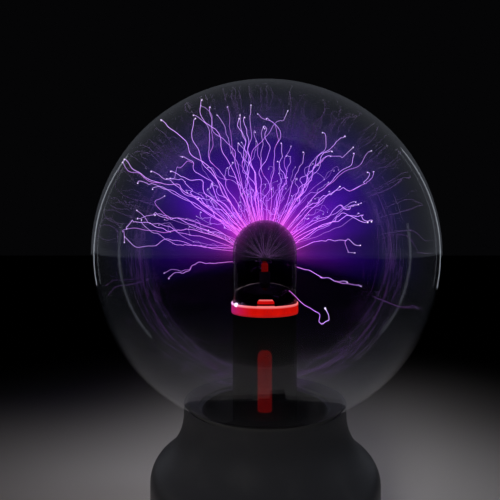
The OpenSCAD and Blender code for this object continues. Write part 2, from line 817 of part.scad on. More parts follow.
// Body on a wire that is bent down to the board at both ends
module resistor(x, y) translate([x, y, board_top_z]) {
    translate([0, 0, resistor_lift]) rotate([0, 90, 0]) cylinder(d = resistor_d, h = resistor_l);
    translate([-resistor_reach, 0, resistor_lift]) rotate([0, 90, 0])
        cylinder(d = resistor_wire_d, h = resistor_l + 2 * resistor_reach);
    for (end = [-resistor_reach, resistor_l + resistor_reach])
        translate([end, 0, 0]) cylinder(d = resistor_leg_d, h = resistor_lift + resistor_leg_d / 2);
}

module resistors() color([0.75, 0.62, 0.42])
    for (y = resistor_y) resistor(resistor_x, y);

module timer_chip() color([0.08, 0.08, 0.08]) translate([chip_pos[0], chip_pos[1], board_top_z]) {
    translate([0, 0, chip_lift]) cube(chip_size);
    for (i = [0 : 3], y = [-chip_pin[1], chip_size[1]])
        translate([(chip_size[0] - chip_pin[0]) / 2 + (i - 1.5) * leg_pitch, y, 0]) cube(chip_pin);
}

module choke() color([0.3, 0.3, 0.32]) translate([choke_pos[0], choke_pos[1], board_top_z]) {
    cylinder(d = choke_core_d, h = 2 * choke_flange_t + choke_core_h);
    for (z = [0, choke_flange_t + choke_core_h])
        translate([0, 0, z]) cylinder(d = choke_flange_d, h = choke_flange_t);
}

// ---------- controls ----------

module control_board() color([0.1, 0.35, 0.2]) difference() {
    z = control_z - control_board_drop;
    block([-control_board_w / 2, control_board_y, z],
          [control_board_w / 2, control_board_y + board_t, z + control_board_h]);
    for (x = [-control_x, control_x], dz = board_hole_z)
        translate([x, 0, control_z + dz])
            rod_y(board_hole_d, control_board_y - eps, control_board_y + board_t + eps);
}

module cable_header() color([0.9, 0.88, 0.82])
    block([-header_w / 2, header_y - header_l / 2, board_top_z],
          [header_w / 2, header_y + header_l / 2, board_top_z + header_h]);

// Flat cable from the control board's back, down in one bend to the header's top
module control_cable() color([0.45, 0.46, 0.5]) {
    z_low = board_top_z + header_h;
    z_bend = z_low + cable_rise;
    y0 = control_board_y + board_t;
    rotate([90, 0, 90]) translate([0, 0, -cable_w / 2]) linear_extrude(height = cable_w) {
        translate([y0, z_bend + cable_bend - cable_t]) square([header_y - cable_bend - y0, cable_t]);
        translate([header_y - cable_bend, z_bend]) quarter_ring(cable_bend - cable_t, cable_bend);
        translate([header_y - cable_t, z_low]) square([cable_t, cable_rise]);
    }
}

module potentiometer() color([0.55, 0.56, 0.58]) translate([control_x, 0, control_z]) difference() {
    union() {
        rod_y(pot_d, -pad_y, control_board_y);
        rod_y(bush_d, -flat_y - bush_l, -pad_y + eps);
    }
    rod_y(shaft_d + 2 * fit, -flat_y - bush_l - eps, control_board_y - pot_floor);
}

// Six-sided nut that lies on the face y and is t thick towards -Y
module nut(af, d, y, t) {
    translate([0, y, 0]) rotate([90, 0, 0]) difference() {
        cylinder(d = af / cos(30), h = t, $fn = 6);
        translate([0, 0, -eps]) cylinder(d = d, h = t + 2 * eps);
    }
}

module potentiometer_nut() color([0.75, 0.75, 0.77])
    translate([control_x, 0, control_z]) nut(nut_af, bush_d + 2 * fit, -flat_y, nut_t);

module knob_shaft() color([0.7, 0.7, 0.72]) translate([control_x, 0, control_z])
    rod_y(shaft_d, knob_face_y + knob_web, control_board_y - pot_floor - shaft_end_gap);

// Round grip with flutes, hollowed behind for the nut, with a groove for its pointer
module intensity_knob() color([0.06, 0.06, 0.07]) translate([control_x, 0, control_z]) difference() {
    union() {
        rod_y(knob_d, knob_back_y - knob_skirt_h, knob_back_y);
        rod_y(knob_grip_d, knob_face_y + knob_edge_r, knob_back_y - knob_skirt_h + eps);
        rod_y(knob_face_d, knob_face_y, knob_face_y + knob_edge_r + eps);
        translate([0, knob_face_y + knob_edge_r, 0]) rotate([90, 0, 0]) rotate_extrude()
            translate([knob_face_d / 2, 0]) circle(r = knob_edge_r);
    }
    for (a = [0 : flute_step : 359]) rotate([0, a, 0])
        translate([knob_grip_d / 2 + flute_sink, 0, 0])
            rod_y(flute_d, knob_face_y + knob_edge_r, knob_back_y - knob_skirt_h);
    rod_y(knob_room_d, knob_back_y - knob_room_l, knob_back_y + eps);
    rod_y(shaft_d, knob_face_y + knob_web, knob_back_y);
    pointer_bar(pointer_w, knob_face_y - eps);
}

// Bar along the knob's radius, w wide, from the face y down to the groove's floor
module pointer_bar(w, y)
    block([-w / 2, y, pointer_start], [w / 2, knob_face_y + pointer_t, knob_face_d / 2]);

module knob_pointer() color([0.92, 0.92, 0.9])
    translate([control_x, 0, control_z]) pointer_bar(pointer_w, knob_face_y - pointer_proud);

// Channel in the switch for the slider's tongue
module mode_switch() color([0.6, 0.61, 0.63]) translate([-control_x, 0, control_z]) difference() {
    back = -pad_y + switch_depth;
    union() {
        block([-switch_w / 2, -pad_y, -switch_h / 2], [switch_w / 2, back, switch_h / 2]);
        for (i = [-1.5 : 1 : 1.5]) translate([i * pin_step, 0, 0]) rod_y(pin_d, back - eps, control_board_y);
    }
    block([-slot_l / 2, -pad_y - eps, -channel_h / 2], [slot_l / 2, back - switch_floor, channel_h / 2]);
}

// Tongue in the switch with a ridged thumb piece outside the drum
module mode_slider() color([0.85, 0.85, 0.83]) translate([-control_x, 0, control_z]) difference() {
    front = -flat_y - gap - thumb_t;
    union() {
        block([-lever_w / 2, front + eps, -lever_h / 2],
              [lever_w / 2, -pad_y + switch_depth - switch_floor - gap, lever_h / 2]);
        block([-thumb_w / 2, front, -thumb_h / 2], [thumb_w / 2, front + thumb_t, thumb_h / 2]);
    }
    for (i = [-1 : 1])
        block([i * ridge_step - ridge_w / 2, front - eps, -thumb_h],
              [i * ridge_step + ridge_w / 2, front + ridge_depth, thumb_h]);
}

module microphone() color([0.7, 0.7, 0.72]) translate([0, 0, mic_z]) {
    back = -pad_y + gap + mic_l;
    rod_y(mic_d, -pad_y + gap, back);
    for (x = [-mic_pin_x, mic_pin_x]) translate([x, 0, 0]) rod_y(pin_d / 2, back - eps, control_board_y);
}

// ---------- supply socket ----------

module supply_socket() color([0.08, 0.08, 0.08]) translate([0, 0, socket_z]) difference() {
    union() {
        rod_y(flange_d, flat_y, socket_face_y);
        rod_y(socket_barrel_d, socket_back_y, flat_y + eps);
    }
    rod_y(socket_d, socket_floor_y, socket_face_y + eps);
    rod_y(socket_pin_tail_d, socket_floor_y - socket_pin_seat, socket_face_y);
}

module socket_nut() color([0.75, 0.75, 0.77])
    translate([0, 0, socket_z]) nut(socket_barrel_d + 3, socket_barrel_d + 2 * fit, pad_y, socket_nut_t);

// Centre pin on the socket's floor, with a thinner tail pressed into it
module socket_pin() color([0.8, 0.8, 0.82]) translate([0, 0, socket_z]) {
    rod_y(socket_pin_d, socket_floor_y, socket_face_y - socket_pin_in);
    rod_y(socket_pin_tail_d, socket_floor_y - socket_pin_seat, socket_floor_y + eps);
}

// Two wires from the socket's back, down in one bend to the board's rear edge
module supply_leads() color([0.15, 0.15, 0.16]) {
    r = min(socket_back_y - supply_y, socket_z - board_top_z) - 1;
    bend = [for (a = [0 : 22.5 : 90]) [0, supply_y + r - r * sin(a), socket_z - r + r * cos(a)]];
    path = concat([[0, socket_back_y, socket_z]], bend, [[0, supply_y, board_top_z]]);
    for (x = [-supply_lead_x, supply_lead_x]) translate([x, 0, 0]) lead(path, supply_lead_d);
}

globe();
pillar();
seal_off_stub();
red_ring();
electrode_ball();
electrode_wires();
electrode_rod();
red_bead();
ceramic_stem();
shoulder_plug();
red_sleeve();
pillar_bung();
base_shell();
globe_gasket();
neck_clamp();
neck_clamp_screws();
base_cover();
cover_screws();
rubber_feet();
driver_board();
board_screws();
transformer_core();
transformer_foot();
transformer_bobbin();
primary_winding();
high_voltage_coil();
core_clip();
high_voltage_lead();
power_transistor();
heat_sink();
transistor_screw();
electrolytic_capacitors();
film_capacitors();
resistors();
timer_chip();
choke();
control_board();
control_cable();
cable_header();
potentiometer();
potentiometer_nut();
knob_shaft();
intensity_knob();
knob_pointer();
mode_switch();
mode_slider();
microphone();
supply_socket();
socket_nut();
socket_pin();
supply_leads();
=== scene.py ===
"""A desk plasma ball: finishes for its solid parts, its discharges, and a plain dim studio."""

import json

import bpy
import numpy as np
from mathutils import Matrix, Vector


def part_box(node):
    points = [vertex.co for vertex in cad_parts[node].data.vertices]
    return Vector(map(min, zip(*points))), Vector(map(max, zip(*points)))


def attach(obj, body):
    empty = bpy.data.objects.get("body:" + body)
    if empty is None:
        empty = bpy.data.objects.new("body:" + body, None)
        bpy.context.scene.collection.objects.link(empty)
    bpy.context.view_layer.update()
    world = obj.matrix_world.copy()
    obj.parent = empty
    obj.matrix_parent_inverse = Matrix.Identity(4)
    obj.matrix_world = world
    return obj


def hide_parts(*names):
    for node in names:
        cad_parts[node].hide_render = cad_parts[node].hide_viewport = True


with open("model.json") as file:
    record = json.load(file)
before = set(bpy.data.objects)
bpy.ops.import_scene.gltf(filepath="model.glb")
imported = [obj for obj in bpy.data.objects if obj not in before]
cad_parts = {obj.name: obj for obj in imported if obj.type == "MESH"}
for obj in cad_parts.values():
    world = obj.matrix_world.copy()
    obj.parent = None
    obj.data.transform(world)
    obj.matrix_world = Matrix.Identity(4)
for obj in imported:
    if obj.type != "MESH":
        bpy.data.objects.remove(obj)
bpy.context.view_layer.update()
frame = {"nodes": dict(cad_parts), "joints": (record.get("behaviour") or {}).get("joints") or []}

MM = 0.001

# ---------- measures ----------

# Sizes of the part's own that its boxes don't give: the globe's wall, the ring's lug, the shoulder
# plug's domed top, and the front wall that the switch sits behind.
GLOBE_WALL = 2 * MM
LUG_H = 4 * MM
PLUG_DOME_H = 5 * MM
PANEL_WALL = 2.4 * MM

# The rest comes from the frame.
globe_low, globe_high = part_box("globe")
GLOBE_R = (globe_high.x - globe_low.x) / 2
CENTRE = np.array([0.0, 0.0, globe_high.z - GLOBE_R])
GLASS_R = GLOBE_R - GLOBE_WALL
DOME_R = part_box("pillar")[1].z - CENTRE[2]
BORE_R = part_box("shoulder_plug")[1].x
RING_LOW, RING_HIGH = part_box("red_ring")
RING_SHOULDER = RING_HIGH.z - LUG_H
BALL = np.array([0.0, 0.0, sum(corner.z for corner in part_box("electrode_ball")) / 2])
BALL_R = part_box("electrode_ball")[1].x


def travel(joint_name, unit_key):
    """The low and high limit of one joint."""
    return next(joint[unit_key] for joint in frame["joints"] if joint["name"] == joint_name)


# ---------- camera ----------


def make_camera():
    """A level camera in front of the globe, a little left of its axis and above its centre."""
    data = bpy.data.cameras.new("camera")
    data.lens = 34.6
    data.shift_y = -0.0326
    data.clip_start = 0.01
    camera = bpy.data.objects.new("camera", data)
    camera.location = (-9.2 * MM, -300 * MM, CENTRE[2] + 11.4 * MM)
    camera.rotation_euler = (np.pi / 2, 0, 0)
    bpy.context.scene.collection.objects.link(camera)
    bpy.context.scene.camera = camera


make_camera()

# ---------- shader graphs ----------


class Socket:
    """A shader socket that can be used in arithmetic: each operation adds a Math node."""

    def __init__(self, finish, socket):
        self.finish = finish
        self.socket = socket

    def math(self, operation, *others):
        return self.finish.math(operation, self, *others)

    def __add__(self, other):
        return self.math("ADD", other)

    def __sub__(self, other):
        return self.math("SUBTRACT", other)

    def __rsub__(self, other):
        return self.finish.math("SUBTRACT", other, self)

    def __mul__(self, other):
        return self.math("MULTIPLY", other)

    def __pow__(self, other):
        return self.math("POWER", other)

    __radd__ = __add__
    __rmul__ = __mul__


class Finish:
    """One material and its node tree."""

    def __init__(self, name):
        self.material = bpy.data.materials.new(name)
        self.material.use_nodes = True
        self.tree = self.material.node_tree
        self.tree.nodes.clear()
        self.out = self.tree.nodes.new("ShaderNodeOutputMaterial")

    def add(self, kind, settings=None, sockets=None, output=0):
        """Adds a node: its settings first, then its sockets' values or links. Returns one output."""
        node = self.tree.nodes.new(kind)
        for name, value in (settings or {}).items():
            if name == "stops":
                self.set_stops(node.color_ramp, value)
            else:
                setattr(node, name, value)
        for key, value in (sockets or {}).items():
            if isinstance(value, Socket):
                self.tree.links.new(value.socket, node.inputs[key])
            else:
                node.inputs[key].default_value = value
        return Socket(self, node.outputs[output])

    @staticmethod
    def set_stops(ramp, stops):
        """Gives a colour ramp its (position, colour) stops."""
        while len(ramp.elements) < len(stops):
            ramp.elements.new(0.5)
        for element, (position, colour) in zip(ramp.elements, stops):
            element.position = position
            element.color = (*colour, 1)

    def math(self, operation, *inputs):
        """Adds a Math node."""
        return self.add("ShaderNodeMath", {"operation": operation}, dict(enumerate(inputs)))

    def vector(self, operation, *inputs, output="Vector"):
        """Adds a Vector Math node."""
        return self.add("ShaderNodeVectorMath", {"operation": operation}, dict(enumerate(inputs)), output)

    def length(self, vector):
        return self.vector("LENGTH", vector, output="Value")

    def object_coords(self):
        return self.add("ShaderNodeTexCoord", output="Object")

    def from_centre(self):
        """The vector from the globe's centre to the shaded point."""
        return self.vector("SUBTRACT", self.object_coords(), tuple(CENTRE))

    def axis(self, name, vector=None):
        return self.add("ShaderNodeSeparateXYZ", {}, {0: vector or self.object_coords()}, output=name)

    def noise(self, scale, detail, vector=None):
        """Cloudy noise from 0 to 1: its scale is the number of clouds in a metre."""
        place = vector or self.object_coords()
        return self.add("ShaderNodeTexNoise", {}, {"Vector": place, "Scale": scale, "Detail": detail})

    def ramp(self, value, *stops):
        """A colour from a value by (position, colour) stops."""
        return self.add("ShaderNodeValToRGB", {"stops": stops}, {0: value})

    def ramp_value(self, value, low, high, curve="LINEAR"):
        """0 below low, 1 above high, and a straight line or another curve between."""
        return self.add("ShaderNodeMapRange", {"interpolation_type": curve}, {0: value, 1: low, 2: high})

    def mix(self, share, first, second):
        """Mixes two colours."""
        colours = {0: share, 6: rgba(first), 7: rgba(second)}
        return self.add("ShaderNodeMix", {"data_type": "RGBA"}, colours, 2)

    def bump(self, height, distance, strength=1.0):
        """A normal from a height of 0 to 1 that stands for a distance in metres."""
        return self.add("ShaderNodeBump", {}, {"Height": height, "Distance": distance, "Strength": strength})

    def surface(self, **sockets):
        """Ends the tree in one Principled shader; underscores in the names stand for spaces."""
        named = {key.replace("_", " "): value for key, value in sockets.items()}
        named = {key: rgba(value) if "Color" in key else value for key, value in named.items()}
        self.end(self.add("ShaderNodeBsdfPrincipled", {}, named))
        return self.material

    def end(self, shader, place="Surface"):
        self.tree.links.new(shader.socket, self.out.inputs[place])


def rgba(colour):
    """A colour of three numbers with full alpha; sockets pass as they are."""
    return colour if isinstance(colour, Socket) else (*colour, 1)


# ---------- finishes ----------


def moulded_plastic(name, colour, grain_mm, roughness, depth_mm=0.04):
    """Moulded plastic: fine grain, uneven gloss, and slightly paler rubbed patches."""
    paint = Finish(name)
    grain = paint.noise(1 / (grain_mm * MM), 2)
    cloud = paint.noise(28, 4)
    rubbed = paint.ramp(paint.noise(70, 6), (0.55, (0, 0, 0)), (0.8, (1, 1, 1)))
    wear = paint.add("ShaderNodeRGBToBW", {}, {0: rubbed}) * 0.35
    pale = tuple(0.75 * c + 0.03 for c in colour)
    return paint.surface(
        Base_Color=paint.mix(wear, colour, pale),
        Roughness=roughness + (cloud - 0.5) * 0.16 + (grain - 0.5) * 0.1,
        Normal=paint.bump(grain, depth_mm * MM))


def plug_black(name):
    """Black gloss with a painted highlight: a soft sheen painted into its colour and glow at the outline of
    its domed top, clearest at the left.
    """
    paint = Finish(name)
    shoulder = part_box("shoulder_plug")[1].z - PLUG_DOME_H
    wear = paint.noise(260, 4)
    outline = paint.ramp_value(paint.add("ShaderNodeLayerWeight", {}, {"Blend": 0.5}, "Facing"), 0.86, 0.98)
    domed = paint.ramp_value(paint.axis("Z"), shoulder - 0.8 * MM, shoulder + 0.2 * MM)
    left = paint.ramp_value(paint.axis("X"), -0.2 * BORE_R, -0.9 * BORE_R)
    # Painted highlight mask: grazing angle on the domed top, stronger at the left, broken up by the wear
    # noise that also varies the roughness.
    sheen = outline * domed * (0.15 + left * 0.85) * paint.ramp_value(wear, 0.25, 0.55)
    # The painted highlight pales the base colour and glows through the emission.
    return paint.surface(
        Base_Color=paint.mix(sheen, (0.012, 0.012, 0.014), (0.3, 0.3, 0.28)),
        Roughness=0.12 + wear * 0.08,
        Emission_Color=paint.mix(sheen, (0, 0, 0), (0.9, 0.86, 0.76)), Emission_Strength=4.0)


def rubber(name, colour):
    """Matt rubber with a dusty bloom."""
    paint = Finish(name)
    bloom = paint.noise(90, 5)
    dusty = tuple(c * 1.5 + 0.02 for c in colour)
    return paint.surface(
        Base_Color=paint.mix(bloom * 0.6, colour, dusty), Roughness=0.72 + (bloom - 0.5) * 0.2,
        Normal=paint.bump(paint.noise(2600, 2), 0.03 * MM))


def silicone(name, colour, glow):
    """Satin silicone with a painted glow: it gives out light though it is no lamp."""
    paint = Finish(name)
    streaks = paint.noise(60, 3)
    deep = tuple(c * 0.55 for c in colour)
    faint = tuple(c * 0.3 for c in colour)
    return paint.surface(
        Base_Color=paint.mix(streaks, deep, colour), Roughness=0.38 + (streaks - 0.5) * 0.2,
        Emission_Color=paint.mix(streaks, faint, colour), Emission_Strength=glow,
        Normal=paint.bump(paint.noise(900, 2), 0.02 * MM))


def metal(name, colour, roughness):
    """Turned or brushed metal: fine lines across Z and small dull spots."""
    paint = Finish(name)
    lines = paint.add("ShaderNodeTexWave", {"bands_direction": "Z"}, {
        "Vector": paint.object_coords(), "Scale": 900.0, "Distortion": 3.0, "Detail": 2.0}, 1)
    spots = paint.noise(380, 4)
    dull = tuple(c * 0.62 for c in colour)
    return paint.surface(
        Base_Color=paint.mix(paint.ramp_value(spots, 0.5, 0.75) * 0.6, colour, dull), Metallic=1.0,
        Roughness=roughness + (spots - 0.5) * 0.22, Normal=paint.bump(lines, 0.008 * MM, 0.6))


def clear_glass(name):
    """Blown glass: see-through, mirror-like from outside at grazing angles, with a ripple and dust.

    Inside, the wall mirrors only a faint ghost of the discharges.
    """
    paint = Finish(name)
    ripple = paint.bump(paint.noise(14, 1), 0.25 * MM, 0.5)
    dust = paint.ramp_value(paint.noise(700, 2), 0.68, 0.8)
    outer = paint.ramp_value(paint.length(paint.from_centre()), GLOBE_R - 1.4 * MM, GLOBE_R - 0.6 * MM)
    facing = 1 - paint.add("ShaderNodeNewGeometry", output="Backfacing")
    mirror = paint.add("ShaderNodeFresnel", {}, {"IOR": 1.45, "Normal": ripple})
    share = (mirror * (outer * facing * 0.9 + 0.07)).math("MINIMUM", 0.4)
    shine = paint.add("ShaderNodeBsdfPrincipled", {}, {
        "Base Color": rgba((0.9, 0.92, 0.96)), "Metallic": 1.0, "Roughness": 0.03 + dust * 0.2,
        "Normal": ripple})
    through = paint.add("ShaderNodeBsdfTransparent", {}, {0: rgba((0.99, 0.99, 0.995))})
    paint.end(paint.add("ShaderNodeMixShader", {}, {0: share, 1: through, 2: shine}))
    return paint.material


def smoked_glass(name, passed):
    """Dark coated glass: passes part of the light and mirrors the rest, with cloudy streaks."""
    paint = Finish(name)
    streaks = paint.noise(46, 4)
    mirror = paint.add("ShaderNodeFresnel", {}, {"IOR": 1.5})
    shine = paint.add("ShaderNodeBsdfPrincipled", {}, {
        "Base Color": rgba((0.6, 0.55, 0.65)), "Metallic": 1.0, "Roughness": 0.05 + streaks * 0.06})
    through = paint.add("ShaderNodeBsdfTransparent", {}, {0: rgba(passed)})
    share = (mirror * (0.5 + streaks * 0.3)).math("MINIMUM", 0.5)
    paint.end(paint.add("ShaderNodeMixShader", {}, {0: share, 1: through, 2: shine}))
    return paint.material


def red_ring_glass(name):
    """Red glass ring lit from inside, with painted light and shade in its colour and glow: a painted
    highlight whitening the upper edge, strongest and violet at the left, where painted violet light also
    tints the body; a dark band of painted shade on the lug's lower part under its painted lit top; and a
    paler lower edge."""
    paint = Finish(name)
    z, x = paint.axis("Z"), paint.axis("X")
    cloud = paint.noise(180, 3)
    # The left mask places painted violet light from the discharges, strongest at the ring's left end.
    left = paint.ramp_value(x, 0.35 * RING_LOW.x, RING_LOW.x) ** 2.0
    # Painted highlight: a whitened band along the upper edge.
    edge = paint.ramp_value(z, RING_SHOULDER - 1.5 * MM, RING_SHOULDER - 0.6 * MM)
    lug = paint.ramp_value(z, RING_SHOULDER + 0.1 * MM, RING_SHOULDER + 0.4 * MM)
    # On the lug: painted shade on its lower part, painted light above it, and a painted highlight at its top
    # edge.
    lug_lit = paint.ramp_value(z, RING_SHOULDER + 1.3 * MM, RING_SHOULDER + 1.7 * MM)
    lug_top_highlight = paint.ramp_value(z, RING_HIGH.z - 1.0 * MM, RING_HIGH.z - 0.4 * MM)
    foot = 1 - paint.ramp_value(z, RING_LOW.z, RING_LOW.z + 1.6 * MM)
    red = paint.mix(cloud, (0.38, 0.002, 0.002), (0.62, 0.006, 0.002))
    # Painted violet light tints the left part of the body.
    red = paint.mix(left, red, (0.34, 0.012, 0.16))
    red = paint.mix(foot * 0.6, red, (0.2, 0.012, 0.012))
    painted_edge_highlight = paint.mix(left, (1.0, 0.24, 0.24), (1.0, 0.55, 0.95))
    body = paint.mix(edge * (0.75 + left * 0.25), red, painted_edge_highlight)
    lit = paint.mix(lug_top_highlight * 0.7, (0.5, 0.003, 0.003), (0.9, 0.2, 0.2))
    lug_light_and_shade = paint.mix(lug_lit, (0.05, 0.0, 0.0), lit)
    colour = paint.mix(lug, body, lug_light_and_shade)
    # The colour, painted light and shade included, also glows as emission.
    return paint.surface(
        Base_Color=colour, Roughness=0.16 + (cloud - 0.5) * 0.08, Coat_Weight=0.3,
        Emission_Color=colour, Emission_Strength=0.95)


def glowing_wire(name):
    """Fine wire with painted light: its emission stands in for the faint light of the gas round it."""
    paint = Finish(name)
    spots = paint.noise(800, 3)
    lit = paint.mix(spots, (0.2, 0.08, 0.32), (0.55, 0.36, 0.66))
    return paint.surface(
        Base_Color=paint.mix(spots, (0.5, 0.42, 0.45), (0.75, 0.66, 0.7)), Metallic=0.9,
        Roughness=0.3 + spots * 0.2, Emission_Color=lit, Emission_Strength=0.8)


def circuit_board(name):
    """Green solder mask over copper tracks that run in straight bundles, with tinned pads."""
    paint = Finish(name)
    x, y = paint.axis("X"), paint.axis("Y")
    lanes = paint.add("ShaderNodeTexBrick", {}, {
        "Vector": paint.object_coords(), "Scale": 150.0, "Mortar Size": 0.04, "Brick Width": 2.2,
        "Row Height": 0.5}, 1)
    pads = paint.add("ShaderNodeTexVoronoi", {}, {"Vector": paint.object_coords(), "Scale": 260.0})
    pad = 1 - paint.ramp_value(pads, 0.16, 0.2)
    weave = ((x * 4200).math("SINE") + (y * 4200).math("SINE")) * 0.25 + 0.5
    mask = paint.mix(lanes, (0.012, 0.11, 0.045), (0.03, 0.2, 0.08))
    return paint.surface(
        Base_Color=paint.mix(pad, mask, (0.62, 0.6, 0.52)), Roughness=0.32 - pad * 0.1,
        Metallic=pad * 0.9, Normal=paint.bump(weave * 0.3 + lanes, 0.02 * MM))


def wound_wire(name, colour, pitch_mm):
    """Turns of enamelled wire: ridges along Z with painted shade in the grooves between them, and a glossy,
    uneven coat.
    """
    paint = Finish(name)
    ridge = (paint.axis("Z") * (2 * np.pi / (pitch_mm * MM))).math("SINE") * 0.5 + 0.5
    cloud = paint.noise(220, 3)
    # Painted shade: the colour darkens towards the grooves between turns, with a random cloudy tone mixed
    # in.
    dark = tuple(c * 0.4 for c in colour)
    return paint.surface(
        Base_Color=paint.mix(ridge * 0.7 + cloud * 0.3, dark, colour), Metallic=0.7,
        Roughness=0.3 + cloud * 0.15, Normal=paint.bump(ridge, 0.12 * MM))


def ceramic(name, colour, roughness):
    """Fired ceramic or ferrite: fine pores and a soft sheen."""
    paint = Finish(name)
    pores = paint.noise(1500, 3)
    cloud = paint.noise(120, 3)
    pale = tuple(min(1, c * 1.35) for c in colour)
    return paint.surface(
        Base_Color=paint.mix(cloud, colour, pale), Roughness=roughness + (pores - 0.5) * 0.15,
        Normal=paint.bump(pores, 0.03 * MM))


def banded_resistors(name):
    """Tan resistors with painted bands along X."""
    pitch = 1.3 * MM
    paint = Finish(name)
    band = paint.ramp_value((paint.axis("X") * (2 * np.pi / pitch)).math("SINE"), 0.55, 0.65)
    ink = paint.ramp(
        paint.axis("Y") * 22.0 + 0.1,
        (0.2, (0.35, 0.05, 0.02)), (0.5, (0.02, 0.02, 0.02)), (0.8, (0.6, 0.35, 0.03)))
    body = paint.mix(paint.noise(300, 2), (0.55, 0.42, 0.24), (0.66, 0.53, 0.34))
    return paint.surface(Base_Color=paint.mix(band, body, ink), Roughness=0.4 + band * 0.1)


def printed_white(name):
    """White paint that is slightly worn."""
    paint = Finish(name)
    worn = paint.ramp_value(paint.noise(1300, 4), 0.6, 0.75)
    return paint.surface(
        Base_Color=paint.mix(worn * 0.5, (0.78, 0.78, 0.75), (0.3, 0.3, 0.3)),
        Roughness=0.55 + worn * 0.2)


def discharge_light(name, strength):
    """Glow of a filament: u runs along it from the pillar to the glass and v is its brightness."""
    paint = Finish(name)
    place = paint.add("ShaderNodeUVMap", {"uv_map": "run"})
    along, bright = paint.axis("X", place), paint.axis("Y", place)
    hue = paint.ramp(
        along,
        (0.0, (0.5, 0.1, 0.5)), (0.1, (0.62, 0.16, 0.68)), (0.28, (0.66, 0.22, 0.9)),
        (0.6, (0.58, 0.26, 0.9)), (0.96, (0.6, 0.36, 0.86)), (1.0, (0.86, 0.7, 1.0)))
    level = paint.mix(bright, (0.03, 0.005, 0.09), hue)
    return paint.surface(Base_Color=level, Roughness=0.6, Emission_Color=level, Emission_Strength=strength)


def gas_glow(name):
    """Light of the gas between the filaments: fades outwards, streaked along its radius, and dark
    inside the pillar."""
    paint = Finish(name)
    offset = paint.from_centre()
    distance = paint.length(offset)
    heading_out = paint.vector("NORMALIZE", offset)
    beside = paint.length(paint.vector("MULTIPLY", offset, (1, 1, 0)))
    past_dome = paint.ramp_value(distance, DOME_R * 0.98, DOME_R * 1.02)
    above = paint.axis("Z", offset).math("MAXIMUM", 0.0)
    past_side = paint.ramp_value(beside + above * 9.0, DOME_R, DOME_R * 1.04)
    outside = past_dome * past_side
    streak = paint.ramp_value(paint.noise(4.5, 1, heading_out), 0.36, 0.7)
    rise = paint.ramp_value(paint.axis("Z", heading_out), -0.3, 0.4)
    away = paint.ramp_value(paint.axis("Y", heading_out), -0.9, 0.1)
    reach = paint.ramp_value(distance, DOME_R, GLASS_R)
    hue = paint.ramp(
        reach,
        (0.0, (1.0, 0.06, 0.75)), (0.16, (0.42, 0.016, 0.9)), (0.45, (0.16, 0.006, 0.95)),
        (0.8, (0.06, 0.003, 0.8)))
    fade = (1 - reach) ** 1.5 * 15.0 + (1 - reach) ** 9.0 * 9.0
    strength = fade * (0.22 + streak) * rise * away * outside
    paint.end(paint.add("ShaderNodeEmission", {}, {"Color": hue, "Strength": strength}), "Volume")
    return paint.material


# ---------- meshes ----------


def make_mesh(name, points, faces, material, uv=None, smooth=True):
    """A mesh object at the origin from arrays of points, faces and, per corner, run coordinates."""
    mesh = bpy.data.meshes.new(name)
    mesh.from_pydata(points.tolist(), [], faces.tolist())
    mesh.polygons.foreach_set("use_smooth", np.full(len(faces), smooth))
    if uv is not None:
        layer = mesh.uv_layers.new(name="run")
        layer.data.foreach_set("uv", uv.astype(np.float32).ravel())
    mesh.update()
    mesh.materials.append(material)
    piece = bpy.data.objects.new(name, mesh)
    bpy.context.scene.collection.objects.link(piece)
    return piece


def unit(vectors):
    """Vectors scaled to a length of one."""
    return vectors / np.maximum(np.linalg.norm(vectors, axis=-1, keepdims=True), 1e-12)


# A tube's ring has six corners, and two quads fill it.
SIDES = 6
CAP = np.array([[0, 1, 2, 3], [0, 3, 4, 5]])


def swept(paths, radii):
    """Closed six-sided tubes along paths (tubes, rings, 3), with a radius for each ring.

    Each ring is a circle square to the path: its two axes are the cross product of the path's
    direction with one fixed vector, and the cross product of those two. Two quads close each end.
    """
    tubes, rings = paths.shape[:2]
    ahead = unit(np.gradient(paths, axis=1))
    chord = unit(paths[:, -1] - paths[:, 0])
    fixed = np.where(np.abs(chord[:, 2:]) < 0.8, [[0.0, 0.0, 1.0]], [[1.0, 0.0, 0.0]])[:, None]
    side = unit(np.cross(ahead, np.broadcast_to(fixed, ahead.shape)))
    over = np.cross(ahead, side)
    turn = np.linspace(0, 2 * np.pi, SIDES, endpoint=False)[:, None]
    ring = side[:, :, None] * np.cos(turn) + over[:, :, None] * np.sin(turn)
    points = paths[:, :, None] + ring * radii[:, :, None, None]
    row, column = np.meshgrid(np.arange(rings - 1), np.arange(SIDES), indexing="ij")
    here, beside = row * SIDES + column, row * SIDES + (column + 1) % SIDES
    walls = np.stack([here, beside, beside + SIDES, here + SIDES], -1).reshape(-1, 4)
    one = np.concatenate([walls, CAP[:, ::-1], CAP + (rings - 1) * SIDES])
    faces = one[None] + (np.arange(tubes) * rings * SIDES)[:, None, None]
    return points.reshape(-1, 3), faces.reshape(-1, 4)


def run_uv(faces, rings, bright, along=None):
    """Run coordinates per face corner: how far along its tube, and the tube's brightness."""
    vertex = faces.ravel()
    run = (vertex // SIDES) % rings / (rings - 1) if along is None else np.full(len(vertex), along)
    return np.stack([run, bright[vertex // (SIDES * rings)]], -1)


def beads(name, centres, radii, material, along, bright):
    """Small closed balls: tubes along Z whose radius is the sine of the angle from the pole, with
    the poles themselves cut flat."""
    pole = 0.3
    polar = np.linspace(pole, np.pi - pole, 7)
    paths = centres[:, None] + radii[:, None, None] * np.cos(polar)[None, :, None] * np.array([0, 0, -1.0])
    points, faces = swept(paths, radii[:, None] * np.sin(polar)[None])
    return make_mesh(name, points, faces, material, run_uv(faces, len(polar), bright, along))


# ---------- discharges ----------

# T is how far along a filament each of its rings lies: 0 at the pillar and 1 at the glass. REACH is
# how far from the globe's centre the filaments end, just inside the glass.
RING_COUNT = 48
T = np.linspace(0, 1, RING_COUNT)
RANDOM = np.random.default_rng(7)
REACH = GLASS_R - 0.5 * MM

